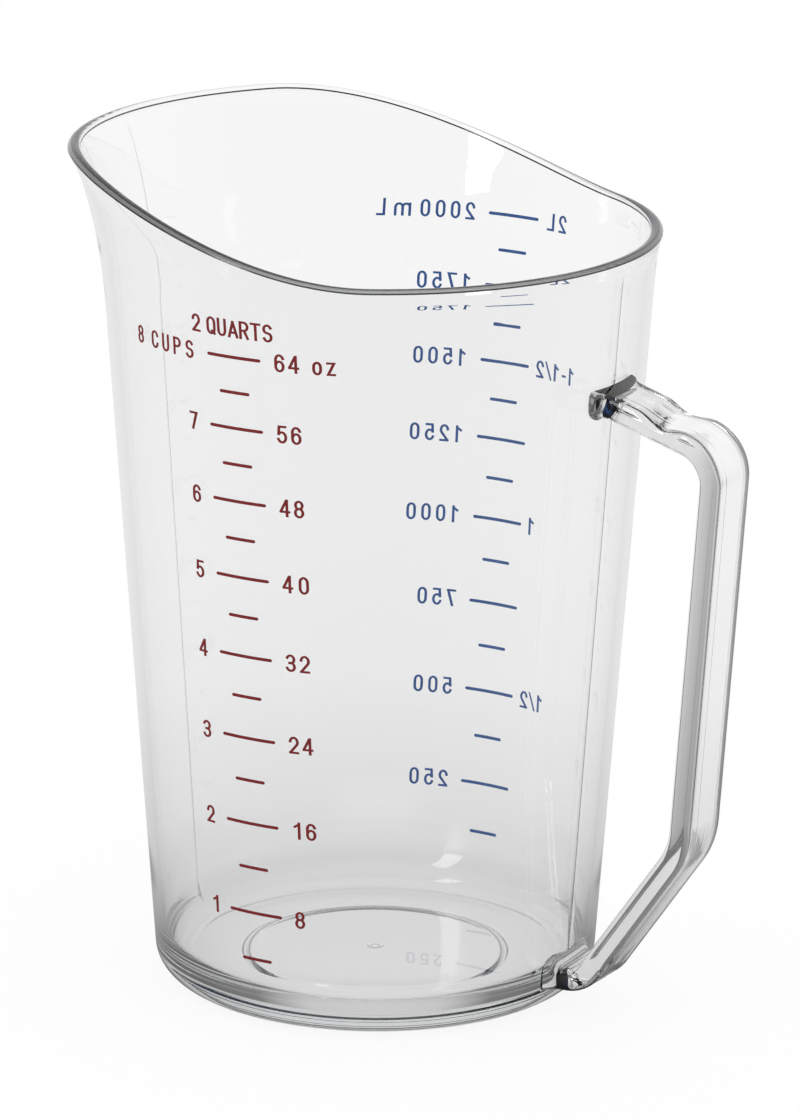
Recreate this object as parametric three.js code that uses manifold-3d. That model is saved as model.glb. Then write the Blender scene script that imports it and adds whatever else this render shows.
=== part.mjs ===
// Two-quart clear measuring cup: a tapered vessel whose flared mouth climbs to a pouring spout,
// a strap handle with a thumb rest, and two printed scales whose bars stand at true volumes.
// Millimetres and degrees, +Z up, handle towards +X, spout towards -X.
import * as THREE from 'three';
import Module from 'manifold-3d';

const wasm = await Module();
wasm.setup();

// Vessel
const WALL_RADIUS = 55.6; // outside of the wall, carried straight down to the table
const WALL_DRAFT = 4; // lean of the wall from upright
const WALL = 2.4; // thickness of the wall
const LIP = 3; // thickness of the wall at the rim
const LIP_ROUND = 0.6; // rounding of the rim's two edges
const HEEL_ROUND = 8; // rounding from the wall down to the foot
const FLOOR = 5; // height of the inside floor above the table
const FLOOR_FILLET = 10.5; // rounding from the inside floor up to the wall
const FOOT_WIDTH = 17; // flat ring that the cup stands on
const RECESS = 1; // depth of the underside within that ring

// Mouth, which starts to flare at the full mark of the red scale
const BRIM = 11.7; // rim on the handle's side above the highest full mark
const SPOUT_RISE = 20.2; // rim at the spout above the rim on the handle's side
const CLIMB_START = 61; // angle from the handle where the rim starts to climb
const CLIMB_END = 144; // angle from the handle where the rim is at its full height
const FLARE_RISE = 40; // height over which the flare gains its reach
const FLARE_SPOUT = 6.4; // reach of the flare on the spout's side
const FLARE_BACK = 0.6; // reach of the flare on the handle's side
const LIP_RISE = 8; // height below the rim where the lip turns out, all round
const LIP_FLARE = 1.3; // reach of the lip
const LIP_DROP = 0.5; // outer edge of the rim below its inner edge

// Handle
const STRAP_WIDTH = 17;
const STRAP_THICKNESS = 6;
const STRAP_EDGE = 1.6; // rounding of the strap's long edges
const EDGE_SHARE = 0.45; // largest share of the strap's section that a rounding takes
const GRIP_GAP = 29.3; // finger room between the wall and the grip
const ROOT_DROP = 34.9; // middle of the arm, where it leaves the wall, below the rim
const ARM_DROP = 16.7; // slope of the arm below level
const LEG_TOP = 48.7; // height where the grip turns into the leg
const LEG_SLOPE = 55.5; // slope of the leg from level
const FOOT_HEIGHT = 9.5; // height where the middle of the leg turns in to the heel
const TOP_BEND = 10; // radius of each bend, at the middle of the strap
const LOWER_BEND = 20;
const FOOT_BEND = 9;
const SIDE_SPREAD = 3; // spread of the strap's two edges where an end meets the wall
const ARM_SPREAD = 1.8; // spread of the arm's finger side where it meets the wall
const LEG_SPREAD = 4; // spread of the leg's finger side where it meets the wall
const BOND = 0.3; // bond line between the strap's ends and the wall
const TAIL = 6; // length of each strap end that the wall cuts away
const SCOOP_PLACE = 17.8; // distance of the thumb rest's middle along the arm from the wall
const SCOOP_LENGTH = 15;
const SCOOP_DEPTH = 1.5;

// Printed scales
const CUP_VOLUME = 236.588; // millilitres in a cup of eight ounces
const CUP_OUNCES = 8; // ounces in a cup
const OUNCE_STEP = 4; // volume from bar to bar of the red scale, in ounces
const OUNCE_BARS = 16; // count of the red bars
const OUNCE_ANGLE = -90; // side of the cup that carries the red scale
const METRIC_STEP = 125; // volume from bar to bar of the blue scale, in millilitres
const METRIC_BARS = 16; // count of the blue bars
const METRIC_ANGLE = 90; // side of the cup that carries the blue scale
const LONG_BAR = 15;
const SHORT_BAR = 8.4;
const BAR_STROKE = 0.8;
const INK = 0.12; // thickness of the ink
const INK_LIFT = 0.08; // room between the ink and the wall
const MILLILITRE = 1000; // cubic millimetres in a millilitre

// Fineness of the surfaces
const SIDES = 72; // steps round the vessel
const HEEL_STEPS = 6;
const FILLET_STEPS = 6;
const LIP_STEPS = 3;
const WALL_STOPS = [0, 0.4, 0.8, 0.83, 0.86, 0.89, 0.92, 0.95, 0.965, 0.98, 0.99, 1]; // shares of the wall
const EDGE_STEPS = 3; // steps round each long edge of the strap
const BEND_STEPS = 8;
const RUN_STEPS = { root: 22, grip: 3, leg: 7, foot: 8 };
const BAR_STEPS = 6;
const BAR_END_STEPS = 3;
const BAR_BLUNT = 0.17; // share of a bar's round end that is left flat
const SLICE = 0.25; // layer of water in the measure of the volume

const { cos, sin, tan, sqrt, abs, min, max, PI } = Math;
const radians = THREE.MathUtils.degToRad;
const lerp = THREE.MathUtils.lerp;
const DRAFT = radians(WALL_DRAFT);
const steps = (count) => Array.from({ length: count + 1 }, (_, i) => i / count);
const ANGLES = Array.from({ length: SIDES }, (_, i) => (2 * PI * i) / SIDES);

// Centre of the heel's arc, which touches the table and the outside of the wall.
const heelCentre = new THREE.Vector2(WALL_RADIUS + HEEL_ROUND * (tan(DRAFT) - 1 / cos(DRAFT)), HEEL_ROUND);
const heelTop = HEEL_ROUND * (1 - sin(DRAFT));

// Centre of the fillet's arc, which touches the inside floor and the inside of the wall.
const filletHeight = FLOOR + FLOOR_FILLET;
const filletRadius = WALL_RADIUS + filletHeight * tan(DRAFT) - WALL - FLOOR_FILLET / cos(DRAFT);
const filletCentre = new THREE.Vector2(filletRadius, filletHeight);
const filletTop = filletHeight - FLOOR_FILLET * sin(DRAFT);

// Inside of the cup at a height, without the flare: the fillet above the floor, and then the tapered wall.
function taperInside(z) {
  if (z >= filletTop) {
    return WALL_RADIUS + z * tan(DRAFT) - WALL;
  }
  const below = filletCentre.y - z;
  return filletCentre.x + sqrt(max(0, FLOOR_FILLET ** 2 - below ** 2));
}

// Height of the water when an inside holds a volume, filled layer by layer.
function waterLevel(insideAt, millilitres) {
  let left = millilitres * MILLILITRE;
  let z = FLOOR;
  for (;;) {
    const middle = z + SLICE / 2;
    const squares = ANGLES.reduce((sum, angle) => sum + insideAt(middle, angle) ** 2, 0);
    const layer = (PI * SLICE * squares) / SIDES;
    if (layer >= left) {
      return z + (SLICE * left) / layer;
    }
    left -= layer;
    z += SLICE;
  }
}

// Bell mouth at a height and an angle from the handle: widest at the spout.
const ounceVolume = (OUNCE_STEP * CUP_VOLUME) / CUP_OUNCES;
const mouthStart = waterLevel(taperInside, OUNCE_BARS * ounceVolume);
function flare(z, angle) {
  const reach = lerp(FLARE_BACK, FLARE_SPOUT, (1 - cos(angle)) / 2);
  return reach * (max(0, z - mouthStart) / FLARE_RISE) ** 2;
}

function levelOf(millilitres) {
  return waterLevel((z, angle) => taperInside(z) + flare(z, angle), millilitres);
}

// Height of the rim at an angle from the handle: level at the back and the spout, with a smooth climb between.
const fullLevel = max(mouthStart, levelOf(METRIC_BARS * METRIC_STEP));
const rimBack = fullLevel + BRIM;
function rimHeight(angle) {
  const fromHandle = Math.acos(cos(angle));
  const climb = THREE.MathUtils.smoothstep(fromHandle, radians(CLIMB_START), radians(CLIMB_END));
  return rimBack + SPOUT_RISE * climb;
}

// Outside of the cup at a height and an angle: taper, bell mouth and the lip's short turn outwards.
function outsideRadius(z, angle) {
  const lip = max(0, (z - rimHeight(angle) + LIP_RISE) / LIP_RISE);
  return WALL_RADIUS + z * tan(DRAFT) + flare(z, angle) + LIP_FLARE * lip ** 2;
}

// Inside of the wall at a height and an angle. Above the full mark the wall thickens to the lip.
function insideWall(z, angle) {
  const rise = max(0, (z - fullLevel) / (rimHeight(angle) - fullLevel));
  return outsideRadius(z, angle) - lerp(WALL, LIP, min(1, rise));
}

// Points of an arc in a profile, as radius and height.
function arc(centre, radius, from, to, count) {
  return steps(count).map((t) => {
    const angle = lerp(from, to, t);
    return new THREE.Vector2(centre.x + radius * cos(angle), centre.y + radius * sin(angle));
  });
}

// Heel of the vessel, from the foot up to the wall, grown outwards by a margin.
const heel = (margin) => arc(heelCentre, HEEL_ROUND + margin, -PI / 2, -DRAFT, HEEL_STEPS);

// Section of the vessel at one angle: underside, heel, outside, rim, inside, fillet and floor.
function vesselProfile(angle) {
  const footInside = heelCentre.x - FOOT_WIDTH;
  const underside = [new THREE.Vector2(footInside - RECESS, RECESS), new THREE.Vector2(footInside, 0)];
  const edge = rimHeight(angle) - LIP_ROUND;
  const outerTop = edge - LIP_DROP;
  const outside = WALL_STOPS.slice(1).map((stop) => {
    const z = lerp(heelTop, outerTop, stop);
    return new THREE.Vector2(outsideRadius(z, angle), z);
  });
  const inside = WALL_STOPS.toReversed().map((stop) => {
    const z = lerp(filletTop, edge, stop);
    return new THREE.Vector2(insideWall(z, angle), z);
  });
  const outerEdge = new THREE.Vector2(outsideRadius(outerTop, angle) - LIP_ROUND, outerTop);
  const innerEdge = new THREE.Vector2(insideWall(edge, angle) + LIP_ROUND, edge);
  const rim = [
    ...arc(outerEdge, LIP_ROUND, 0, PI / 2, LIP_STEPS).slice(1),
    ...arc(innerEdge, LIP_ROUND, PI / 2, PI, LIP_STEPS).slice(0, -1),
  ];
  const fillet = arc(filletCentre, FLOOR_FILLET, -DRAFT, -PI / 2, FILLET_STEPS).slice(1);
  return [...underside, ...heel(0), ...outside, ...rim, ...inside, ...fillet];
}

// A closed skin over a row of rings, each end closed by a fan round its middle.
function loft(rings) {
  const sides = rings[0].length;
  const points = rings.flat();
  const faces = [];
  for (let i = 0; i + 1 < rings.length; i += 1) {
    for (let j = 0; j < sides; j += 1) {
      const a = i * sides + j;
      const b = i * sides + ((j + 1) % sides);
      faces.push(a, b, b + sides, a, b + sides, a + sides);
    }
  }
  const middle = (ring) => ring.reduce((sum, p) => sum.add(p), new THREE.Vector3()).divideScalar(sides);
  const last = (rings.length - 1) * sides;
  const start = points.push(middle(rings[0])) - 1;
  const end = points.push(middle(rings.at(-1))) - 1;
  for (let j = 0; j < sides; j += 1) {
    const next = (j + 1) % sides;
    faces.push(start, next, j, end, last + j, last + next);
  }
  const geometry = new THREE.BufferGeometry().setFromPoints(points);
  geometry.setIndex(faces);
  return geometry;
}

// Rings round the cup's axis from a section that may change with the angle.
function turnedRings(profileAt) {
  const profiles = ANGLES.map(profileAt);
  return profiles[0].map((_, i) =>
    ANGLES.map((angle, j) => {
      const { x, y } = profiles[j][i];
      return new THREE.Vector3(x * cos(angle), x * sin(angle), y);
    }),
  );
}

// A ring across a sweep: an outline in the plane of a normal and the direction square to it and to the run.
function sectionRing(centre, run, normal, outline) {
  const across = new THREE.Vector3().crossVectors(run, normal);
  return outline.map((p) => centre.clone().addScaledVector(normal, p.x).addScaledVector(across, p.y));
}

function solid(geometry) {
  const vertProperties = new Float32Array(geometry.attributes.position.array);
  const triVerts = new Uint32Array(geometry.index.array);
  return new wasm.Manifold(new wasm.Mesh({ numProp: 3, vertProperties, triVerts }));
}

function geometryOf(manifold) {
  const { vertProperties, triVerts } = manifold.getMesh();
  const geometry = new THREE.BufferGeometry();
  geometry.setAttribute('position', new THREE.BufferAttribute(vertProperties, 3));
  geometry.setIndex(new THREE.BufferAttribute(triVerts, 1));
  return geometry;
}

// Straight runs between corners in the handle's plane, joined by bends of the given radii.
function bentRoute(corners, radii, runSteps) {
  const route = [];
  let from = corners[0];
  radii.forEach((radius, i) => {
    const corner = corners[i + 1];
    const inward = corner.clone().sub(corners[i]).normalize();
    const onward = corners[i + 2].clone().sub(corner).normalize();
    const turn = Math.acos(inward.dot(onward));
    const reach = radius * tan(turn / 2);
    const entry = corner.clone().addScaledVector(inward, -reach);
    const centre = entry.clone().add(new THREE.Vector2(inward.y, -inward.x).multiplyScalar(radius));
    const first = Math.atan2(entry.y - centre.y, entry.x - centre.x);
    route.push({ curve: new THREE.LineCurve(from, entry), count: runSteps[i] });
    const bend = new THREE.EllipseCurve(centre.x, centre.y, radius, radius, first, first - turn, true);
    route.push({ curve: bend, count: BEND_STEPS });
    from = corner.clone().addScaledVector(onward, reach);
  });
  route.push({ curve: new THREE.LineCurve(from, corners.at(-1)), count: runSteps.at(-1) });
  return route;
}

// The middle of the strap: down the arm, along the grip beside the wall, and by the leg in to the heel.
function handleRoute() {
  const onGrip = (z) => new THREE.Vector2(outsideRadius(z, 0) + GRIP_GAP + STRAP_THICKNESS / 2, z);
  const rootHeight = rimBack - ROOT_DROP;
  const root = new THREE.Vector2(outsideRadius(rootHeight, 0), rootHeight);
  const slope = tan(radians(ARM_DROP));
  const taper = tan(DRAFT);
  const topHeight = rootHeight - (slope * (GRIP_GAP + STRAP_THICKNESS / 2)) / (1 + slope * taper);
  const lower = onGrip(LEG_TOP);
  const foot = new THREE.Vector2(lower.x - (LEG_TOP - FOOT_HEIGHT) / tan(radians(LEG_SLOPE)), FOOT_HEIGHT);
  const armEnd = root.clone().add(new THREE.Vector2(-TAIL, TAIL * slope));
  const legEnd = new THREE.Vector2(outsideRadius(FOOT_HEIGHT, 0) - TAIL, FOOT_HEIGHT);
  const corners = [armEnd, onGrip(topHeight), lower, foot, legEnd];
  const runSteps = [RUN_STEPS.root, RUN_STEPS.grip, RUN_STEPS.leg, RUN_STEPS.foot];
  return bentRoute(corners, [TOP_BEND, LOWER_BEND, FOOT_BEND], runSteps);
}

// Spread of the strap close to the wall, as a quarter circle.
function spread(distance, reach) {
  const near = min(reach, max(0, reach - distance));
  return reach - sqrt(reach ** 2 - near ** 2);
}

// Depth of the thumb rest at a distance along the arm from the wall.
function scoopDepth(distance) {
  const share = abs(distance - SCOOP_PLACE) / (SCOOP_LENGTH / 2);
  return share < 1 ? (SCOOP_DEPTH * (1 + cos(PI * share))) / 2 : 0;
}

// Outline of the strap from its finger side to its outer side, with the rounding of the finger side's edges.
function strapOutline(inner, outer, width, innerEdge) {
  const depth = inner + outer;
  const outRound = min(STRAP_EDGE, EDGE_SHARE * depth);
  const inRound = min(innerEdge, EDGE_SHARE * width, 2 * EDGE_SHARE * (depth - outRound));
  const corners = [
    [outer - outRound, width / 2 - outRound, outRound, 0],
    [inRound - inner, width / 2 - inRound, inRound, PI / 2],
    [inRound - inner, inRound - width / 2, inRound, PI],
    [outer - outRound, outRound - width / 2, outRound, (3 * PI) / 2],
  ];
  return corners.flatMap(([x, y, round, from]) =>
    arc(new THREE.Vector2(x, y), round, from, from + PI / 2, EDGE_STEPS),
  );
}

// The strap along its route, cut clear of the wall. Its ends spread on the finger side and at both edges.
function handleGeometry() {
  const route = handleRoute();
  const lengths = route.map(({ curve }) => curve.getLength());
  const total = lengths.reduce((sum, length) => sum + length, 0);
  const armTail = TAIL / cos(radians(ARM_DROP));
  const half = STRAP_THICKNESS / 2;
  const slant = half * tan(radians(ARM_DROP) + DRAFT);
  const rings = [];
  let before = 0;
  route.forEach(({ curve, count }, i) => {
    const stops = i === 0 ? steps(count) : steps(count).slice(1);
    for (const t of stops) {
      const place = curve.getPoint(t);
      const heading = curve.getTangent(t);
      const along = before + lengths[i] * t;
      const fromRoot = along - armTail;
      const fromFoot = total - TAIL - along;
      const sideways = spread(fromRoot, SIDE_SPREAD) + spread(fromFoot, SIDE_SPREAD);
      const inwards = spread(fromRoot - slant, ARM_SPREAD) + spread(fromFoot, LEG_SPREAD);
      const outer = half - scoopDepth(fromRoot);
      const width = STRAP_WIDTH + 2 * sideways;
      const outline = strapOutline(half + inwards, outer, width, STRAP_EDGE + inwards);
      const run = new THREE.Vector3(heading.x, 0, heading.y);
      const normal = new THREE.Vector3(-heading.y, 0, heading.x);
      rings.push(sectionRing(new THREE.Vector3(place.x, 0, place.y), run, normal, outline));
    }
    before += lengths[i];
  });
  return geometryOf(solid(loft(rings)).subtract(solid(wallEnvelope())));
}

// The outside of the vessel as a full solid, grown by the bond line, up to where the mouth starts.
function wallEnvelope() {
  const grown = BOND / cos(DRAFT);
  const wall = new THREE.Vector2(outsideRadius(mouthStart, 0) + grown, mouthStart);
  const profile = [...heel(BOND), wall];
  return loft(turnedRings(() => profile));
}

// One printed bar: a strip of ink with round ends, wrapped on the wall at a height and an angle.
function barGeometry(length, level, degrees) {
  const radius = BAR_STROKE / 2;
  const straight = length / 2 - radius;
  const roundEnd = steps(BAR_END_STEPS).slice(1, -1).map((t) => straight + radius * sin((PI / 2) * t));
  const body = steps(BAR_STEPS).map((t) => lerp(-straight, straight, t));
  const tip = straight + radius * sin((PI / 2) * (1 - BAR_BLUNT));
  const stops = [-tip, ...roundEnd.toReversed().map((x) => -x), ...body, ...roundEnd, tip];
  const middle = radians(degrees);
  const wrap = outsideRadius(level, middle);
  const rings = stops.map((x) => {
    const past = max(0, abs(x) - straight);
    const halfStroke = sqrt(radius ** 2 - past ** 2);
    const angle = middle + x / wrap;
    const corner = (depth, z) => {
      const r = outsideRadius(z, angle) + INK_LIFT + depth;
      return new THREE.Vector3(r * cos(angle), r * sin(angle), z);
    };
    return [
      corner(INK, level + halfStroke),
      corner(0, level + halfStroke),
      corner(0, level - halfStroke),
      corner(INK, level - halfStroke),
    ].reverse();
  });
  return loft(rings);
}

const clearPlastic = new THREE.MeshStandardMaterial({
  name: 'clear_polycarbonate',
  color: 0xeef1f3,
  roughness: 0.06,
  metalness: 0,
  transparent: true,
  opacity: 0.3,
});
const redInk = new THREE.MeshStandardMaterial({ name: 'red_ink', color: 0x8f2b2d, roughness: 0.5 });
const blueInk = new THREE.MeshStandardMaterial({ name: 'blue_ink', color: 0x3a5a9c, roughness: 0.5 });

function piece(name, geometry, material) {
  geometry.computeVertexNormals();
  const mesh = new THREE.Mesh(geometry, material);
  mesh.name = name;
  return mesh;
}

// Bars of one scale from the lowest to the full mark, equal volumes apart, every second bar long.
function scaleBars(name, count, volume, degrees, material) {
  return Array.from({ length: count }, (_, i) => {
    const number = i + 1;
    const length = number % 2 === 0 ? LONG_BAR : SHORT_BAR;
    const geometry = barGeometry(length, levelOf(number * volume), degrees);
    return piece(`${name}_${String(number).padStart(2, '0')}`, geometry, material);
  });
}

const cup = new THREE.Group();
cup.add(piece('vessel', loft(turnedRings(vesselProfile)), clearPlastic));
cup.add(piece('handle', handleGeometry(), clearPlastic));
cup.add(...scaleBars('ounce_bar', OUNCE_BARS, ounceVolume, OUNCE_ANGLE, redInk));
cup.add(...scaleBars('metric_bar', METRIC_BARS, METRIC_STEP, METRIC_ANGLE, blueInk));

// The origin is on the table, under the middle of the whole cup with its handle.
const reach = new THREE.Box3().setFromObject(cup);
cup.position.x = -(reach.min.x + reach.max.x) / 2;

const measuringCup = new THREE.Group();
measuringCup.add(cup);

export default measuringCup;
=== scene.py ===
"""Dresses the two-quart measuring cup: one clear moulding, two printed scales and a white studio."""

import logging
import math
from dataclasses import dataclass, field
from enum import Enum, IntEnum
from typing import ClassVar

import bmesh
import bpy
from mathutils import Matrix, Vector
from mathutils.geometry import delaunay_2d_cdt


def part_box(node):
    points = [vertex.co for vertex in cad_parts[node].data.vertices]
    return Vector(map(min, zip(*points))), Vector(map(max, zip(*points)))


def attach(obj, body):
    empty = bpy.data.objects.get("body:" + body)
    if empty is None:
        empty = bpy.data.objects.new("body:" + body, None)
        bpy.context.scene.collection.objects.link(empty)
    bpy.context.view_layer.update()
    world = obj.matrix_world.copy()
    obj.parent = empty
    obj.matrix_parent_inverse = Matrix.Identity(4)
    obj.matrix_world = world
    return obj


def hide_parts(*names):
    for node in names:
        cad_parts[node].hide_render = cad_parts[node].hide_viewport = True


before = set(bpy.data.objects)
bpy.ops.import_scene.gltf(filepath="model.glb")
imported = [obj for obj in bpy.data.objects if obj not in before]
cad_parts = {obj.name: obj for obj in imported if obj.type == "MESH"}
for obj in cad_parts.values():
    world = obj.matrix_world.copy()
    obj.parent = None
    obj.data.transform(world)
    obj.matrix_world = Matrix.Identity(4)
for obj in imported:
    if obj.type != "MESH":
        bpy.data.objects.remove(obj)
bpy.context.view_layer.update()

LOG = logging.getLogger("measuring_cup")
MM = 0.001  # a millimetre, in the frame's metres
TOUCH = 0.01  # millimetres within which two places count as one
WHITE = (1.0, 1.0, 1.0, 1.0)
MIX_SHARE, MIX_FIRST, MIX_SECOND, MIX_RESULT = 0, 6, 7, 2  # sockets of a Mix node that blends colours
LOOK_THROUGH = 32  # walls that a look may pass
LOOK_MIRRORED = 16  # mirrors that a look may meet

Point = tuple[float, float]
Colour = tuple[float, float, float]
Piece = bpy.types.Object
Socket = bpy.types.NodeSocket


def mix(low: float, high: float, share: float) -> float:
    """Value at a share of the way from low to high."""
    return low + (high - low) * share


def smooth_step(value: float, low: float, high: float) -> float:
    """Smooth rise from 0 at low to 1 at high."""
    share = min(1.0, max(0.0, (value - low) / (high - low)))
    return share * share * (3 - 2 * share)


def stops(count: int) -> list[float]:
    """Even shares from 0 to 1, in a number of steps."""
    return [i / count for i in range(count + 1)]


def arc(centre: Point, radius: float, first: float, last: float, count: int) -> list[Point]:
    """Points of an arc in a flat section, both ends included, with its angles in radians."""
    turns = [mix(first, last, t) for t in stops(count)]
    return [(centre[0] + radius * math.cos(a), centre[1] + radius * math.sin(a)) for a in turns]


def level_of_bar(node: str) -> float:
    """Height of a printed bar's middle, in millimetres."""
    low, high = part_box(node)
    return (low.z + high.z) / 2 / MM


def axis_of_cup() -> float:
    """Place of the vessel's upright axis along X, in millimetres, from a bar that lies square to it."""
    low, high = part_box("ounce_bar_02")
    return (low.x + high.x) / 2 / MM


AXIS = axis_of_cup()


def in_frame(x: float, y: float, z: float) -> Vector:
    """A point given in millimetres from the cup's axis, as a place in the frame."""
    return Vector(((AXIS + x) * MM, y * MM, z * MM))


class Bench:
    """Shop routines that every modelled piece passes through."""

    @staticmethod
    def clear() -> None:
        """Deselects everything and leaves edit mode."""
        if bpy.context.object and bpy.context.object.mode != "OBJECT":
            bpy.ops.object.mode_set(mode="OBJECT")
        bpy.ops.object.select_all(action="DESELECT")

    @staticmethod
    def pick(piece: Piece) -> None:
        """Selects one piece alone and makes it active.

        Args:
            piece: the piece to select.
        """
        Bench.clear()
        piece.select_set(True)
        bpy.context.view_layer.objects.active = piece

    @staticmethod
    def loft(name: str, rings: list[list[Vector]]) -> Piece:
        """Grows a closed skin from a disc by extruding its face from ring to ring.

        Args:
            name: name of the new piece.
            rings: rings of points in the frame, all of one length; both ends are closed flat.

        Returns:
            The new piece, at the origin.
        """
        Bench.clear()
        bpy.ops.mesh.primitive_circle_add(vertices=len(rings[0]), radius=MM, fill_type="NGON")
        piece = bpy.context.object
        piece.name = piece.data.name = name
        bpy.ops.object.mode_set(mode="EDIT")
        bpy.ops.mesh.select_mode(type="FACE")
        bpy.ops.mesh.select_all(action="SELECT")
        skin = bmesh.from_edit_mesh(piece.data)
        order = list(skin.faces[:][0].verts)
        for vert, place in zip(order, rings[0]):
            vert.co = place
        bmesh.update_edit_mesh(piece.data)
        for ring in rings[1:]:
            order = [tuple(vert.co) for vert in order]
            bpy.ops.mesh.extrude_region_move()
            skin = bmesh.from_edit_mesh(piece.data)
            lifted = {tuple(vert.co): vert for vert in skin.verts if vert.select}
            order = [lifted[place] for place in order]
            for vert, place in zip(order, ring):
                vert.co = place
            bmesh.update_edit_mesh(piece.data)
        bpy.ops.mesh.select_all(action="SELECT")
        bpy.ops.mesh.normals_make_consistent(inside=False)
        bpy.ops.object.mode_set(mode="OBJECT")
        return piece

    @staticmethod
    def fuse(piece: Piece, other: Piece) -> None:
        """Melts another piece into a piece, as one moulding.

        Args:
            piece: the piece that stays.
            other: the piece that is used up.
        """
        Bench.pick(piece)
        union = piece.modifiers.new("fuse", "BOOLEAN")
        union.operation = "UNION"
        union.solver = "EXACT"
        union.object = other
        bpy.ops.object.modifier_apply(modifier=union.name)
        bpy.data.objects.remove(other, do_unlink=True)

    @staticmethod
    def smooth(piece: Piece, degrees: float) -> None:
        """Shades a piece smooth, with creases sharper than an angle kept."""
        Bench.pick(piece)
        bpy.ops.object.shade_smooth_by_angle(angle=math.radians(degrees))

    @staticmethod
    def dress(piece: Piece, finish: bpy.types.Material) -> None:
        """Gives a piece one finish all over."""
        piece.data.materials.clear()
        piece.data.materials.append(finish)


class NodeSheet:
    """Nodes and links of one material, node group or world."""

    def __init__(self, tree: bpy.types.NodeTree) -> None:
        """Starts on an empty sheet."""
        self.tree = tree
        tree.nodes.clear()

    def add(self, kind: str, **settings: object) -> bpy.types.Node:
        """Places a node.

        Args:
            kind: node type, without its ShaderNode prefix for shader nodes.
            settings: properties of the node.

        Returns:
            The new node.
        """
        node = self.tree.nodes.new(kind if kind.startswith("Node") else f"ShaderNode{kind}")
        for name, value in settings.items():
            setattr(node, name, value)
        return node

    def join(self, source: Socket, target: Socket) -> None:
        """Links an output to an input."""
        self.tree.links.new(source, target)

    def noise(self, where: Socket, scale: Socket, detail: float) -> Socket:
        """Places a noise pattern.

        Args:
            where: coordinates that the pattern follows.
            scale: waves to the metre.
            detail: layers of finer waves.

        Returns:
            The pattern's value, from 0 to 1.
        """
        node = self.add("TexNoise")
        node.inputs["Detail"].default_value = detail
        self.join(where, node.inputs["Vector"])
        self.join(scale, node.inputs["Scale"])
        return node.outputs["Fac"]

    def spread(self, value: Socket, low: float, high: float) -> Socket:
        """Spreads a value over a range.

        Args:
            value: the value, from 0 to 1.
            low: what 0 becomes.
            high: what 1 becomes.

        Returns:
            The value within the range.
        """
        node = self.add("MapRange")
        self.join(value, node.inputs["Value"])
        node.inputs["To Min"].default_value = low
        node.inputs["To Max"].default_value = high
        return node.outputs["Result"]

    def blend(self, share: Socket, first: Colour | Socket, second: Colour | Socket) -> Socket:
        """Blends two colours by a share that changes over the surface.

        Args:
            share: 0 for the first colour, 1 for the second.
            first: first colour, fixed or changing.
            second: second colour, fixed or changing.

        Returns:
            The blended colour.
        """
        node = self.add("Mix", data_type="RGBA")
        self.join(share, node.inputs[MIX_SHARE])
        for colour, target in ((first, node.inputs[MIX_FIRST]), (second, node.inputs[MIX_SECOND])):
            if isinstance(colour, Socket):
                self.join(colour, target)
            else:
                target.default_value = (*colour, 1)
        return node.outputs[MIX_RESULT]

    def reckon(self, operation: str, first: Socket, second: Socket, held: bool = False) -> Socket:
        """Works a value out of two others.

        Args:
            operation: the Math node's operation.
            first: first value.
            second: second value.
            held: whether the result is held between 0 and 1.

        Returns:
            The result.
        """
        node = self.add("Math", operation=operation, use_clamp=held)
        self.join(first, node.inputs[0])
        self.join(second, node.inputs[1])
        return node.outputs[0]

    def against(self, operation: str, vector: Socket, fixed: Vector) -> bpy.types.Node:
        """Sets a changing vector against a fixed one.

        Args:
            operation: the Vector Math node's operation.
            vector: the changing vector.
            fixed: the fixed vector.

        Returns:
            The node, with its outputs Vector and Value.
        """
        node = self.add("VectorMath", operation=operation)
        self.join(vector, node.inputs[0])
        node.inputs[1].default_value = fixed
        return node

    def choose(self, share: Socket, first: Socket, second: Socket) -> Socket:
        """Chooses between two shaders.

        Args:
            share: 0 for the first shader, 1 for the second.
            first: first shader.
            second: second shader.

        Returns:
            The chosen shader.
        """
        node = self.add("MixShader")
        for source, target in zip((share, first, second), node.inputs):
            self.join(source, target)
        return node.outputs[0]


class HandlingMarks:
    """Soft waviness and fine rubbing that moulded and printed surfaces share."""

    NAME = "handling_marks"
    PATTERNS = (("Wave Scale", "Height", 1.0), ("Rub Scale", "Rub", 4.0))

    @classmethod
    def group(cls) -> bpy.types.NodeTree:
        """Builds the node group once.

        Returns:
            The group, with a wave scale and a rub scale in, and a wave height and a rub mask out.
        """
        if cls.NAME in bpy.data.node_groups:
            return bpy.data.node_groups[cls.NAME]
        tree = bpy.data.node_groups.new(cls.NAME, "ShaderNodeTree")
        sheet = NodeSheet(tree)
        for scale, mark, _ in cls.PATTERNS:
            tree.interface.new_socket(scale, in_out="INPUT", socket_type="NodeSocketFloat")
            tree.interface.new_socket(mark, in_out="OUTPUT", socket_type="NodeSocketFloat")
        inlet, outlet = sheet.add("NodeGroupInput"), sheet.add("NodeGroupOutput")
        place = sheet.add("TexCoord").outputs["Object"]
        for scale, mark, detail in cls.PATTERNS:
            sheet.join(sheet.noise(place, inlet.outputs[scale], detail), outlet.inputs[mark])
        return tree

    @classmethod
    def place(cls, sheet: NodeSheet, waves: float, rubs: float) -> bpy.types.Node:
        """Places the group in a material.

        Args:
            sheet: the material's nodes.
            waves: soft waves to the metre.
            rubs: fine rubs to the metre.

        Returns:
            The group's node.
        """
        node = sheet.add("Group", node_tree=cls.group())
        node.inputs["Wave Scale"].default_value = waves
        node.inputs["Rub Scale"].default_value = rubs
        return node


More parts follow.
